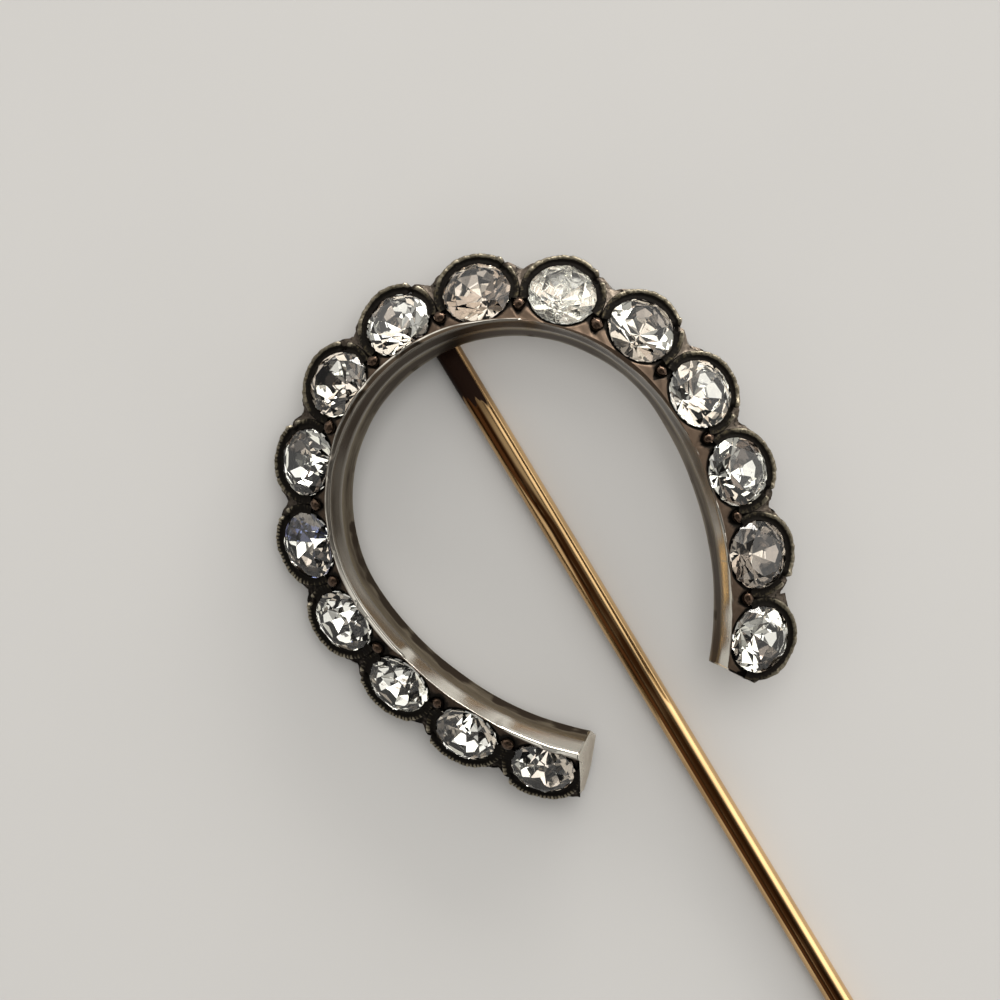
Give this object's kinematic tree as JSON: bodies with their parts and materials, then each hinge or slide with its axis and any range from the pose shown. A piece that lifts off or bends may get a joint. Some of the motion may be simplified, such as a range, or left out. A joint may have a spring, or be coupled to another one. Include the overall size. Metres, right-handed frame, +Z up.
{
  "type": "stick pin",
  "caption": "Horseshoe stick pin: a scalloped silver head set with a row of round clear stones, on a plain pointed stem.",
  "frame": {"origin": "middle of the pin's footprint, on the surface that it lies on", "axes": "+Z up from the surface, +Y along the stem from its point to the head, +X to the right seen from above with the head away from the viewer"},
  "size_m": [0.0204, 0.065, 0.0043],
  "materials": {
    "silver": "old silver, polished on the inner wall and tarnished dark in the recesses",
    "gold": "worn low-carat gold, polished along its length",
    "paste": "clear cut glass, polished facets"
  },
  "bodies": {
    "root": {"setting": "silver", "stem": "gold", "stone_01": "paste", "stone_02": "paste", "stone_03": "paste", "stone_04": "paste", "stone_05": "paste", "stone_06": "paste", "stone_07": "paste", "stone_08": "paste", "stone_09": "paste", "stone_10": "paste", "stone_11": "paste", "stone_12": "paste", "stone_13": "paste", "stone_14": "paste", "stone_15": "paste"}
  },
  "joints": []
}
